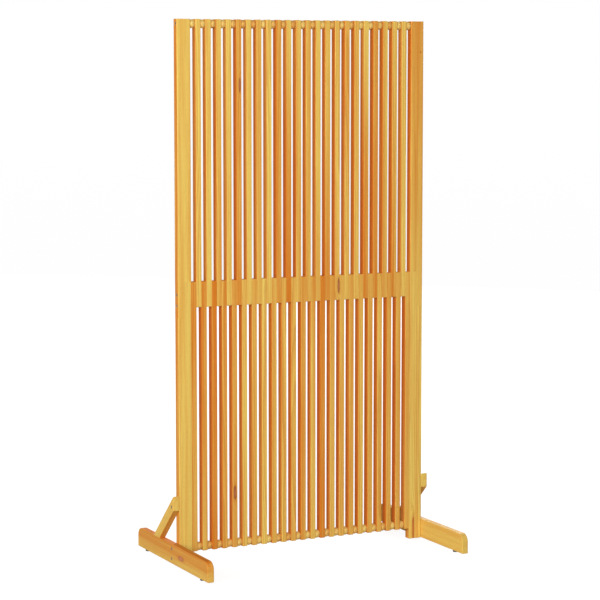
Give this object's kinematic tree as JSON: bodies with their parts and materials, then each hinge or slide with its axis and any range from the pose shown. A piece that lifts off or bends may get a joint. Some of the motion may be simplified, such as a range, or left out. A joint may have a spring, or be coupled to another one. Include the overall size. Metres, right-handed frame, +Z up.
{
  "type": "garden privacy screen",
  "caption": "Free-standing slatted wooden screen: two posts on braced board feet, carrying upright slats that overlap in a closed band at mid-height.",
  "frame": {"origin": "on the floor, under the middle of the screen", "axes": "+X to the right along the screen, +Y to the rear, where the braces are, +Z up"},
  "size_m": [0.96, 0.6, 1.8],
  "materials": {
    "slat_wood": "oiled, satin",
    "disc_wood": "oiled, satin",
    "post_wood": "oiled, satin",
    "foot_wood": "oiled, satin",
    "zinc_steel": "zinc plated, dull",
    "black_plastic": "moulded, matt"
  },
  "bodies": {
    "root": {"upper_slat_01": "slat_wood", "upper_slat_02": "slat_wood", "upper_slat_03": "slat_wood", "upper_slat_04": "slat_wood", "upper_slat_05": "slat_wood", "upper_slat_06": "slat_wood", "upper_slat_07": "slat_wood", "upper_slat_08": "slat_wood", "upper_slat_09": "slat_wood", "upper_slat_10": "slat_wood", "upper_slat_11": "slat_wood", "upper_slat_12": "slat_wood", "upper_slat_13": "slat_wood", "upper_slat_14": "slat_wood", "upper_slat_15": "slat_wood", "upper_slat_16": "slat_wood", "upper_slat_17": "slat_wood", "upper_slat_18": "slat_wood", "upper_slat_19": "slat_wood", "upper_slat_20": "slat_wood", "upper_slat_21": "slat_wood", "upper_slat_22": "slat_wood", "lower_slat_01": "slat_wood", "lower_slat_02": "slat_wood", "lower_slat_03": "slat_wood", "lower_slat_04": "slat_wood", "lower_slat_05": "slat_wood", "lower_slat_06": "slat_wood", "lower_slat_07": "slat_wood", "lower_slat_08": "slat_wood", "lower_slat_09": "slat_wood", "lower_slat_10": "slat_wood", "lower_slat_11": "slat_wood", "lower_slat_12": "slat_wood", "lower_slat_13": "slat_wood", "lower_slat_14": "slat_wood", "lower_slat_15": "slat_wood", "lower_slat_16": "slat_wood", "lower_slat_17": "slat_wood", "lower_slat_18": "slat_wood", "lower_slat_19": "slat_wood", "lower_slat_20": "slat_wood", "lower_slat_21": "slat_wood", "lower_slat_22": "slat_wood", "lower_slat_23": "slat_wood", "top_spacer_discs": "disc_wood", "bottom_spacer_discs": "disc_wood", "left_upper_post": "post_wood", "left_lower_post": "post_wood", "right_upper_post": "post_wood", "right_lower_post": "post_wood", "left_foot": "foot_wood", "right_foot": "foot_wood", "left_brace": "foot_wood", "right_brace": "foot_wood", "tie_rods": "zinc_steel", "sleeve_nuts": "zinc_steel", "wood_screws": "zinc_steel", "glide_nails": "zinc_steel", "glides": "black_plastic"}
  },
  "joints": []
}
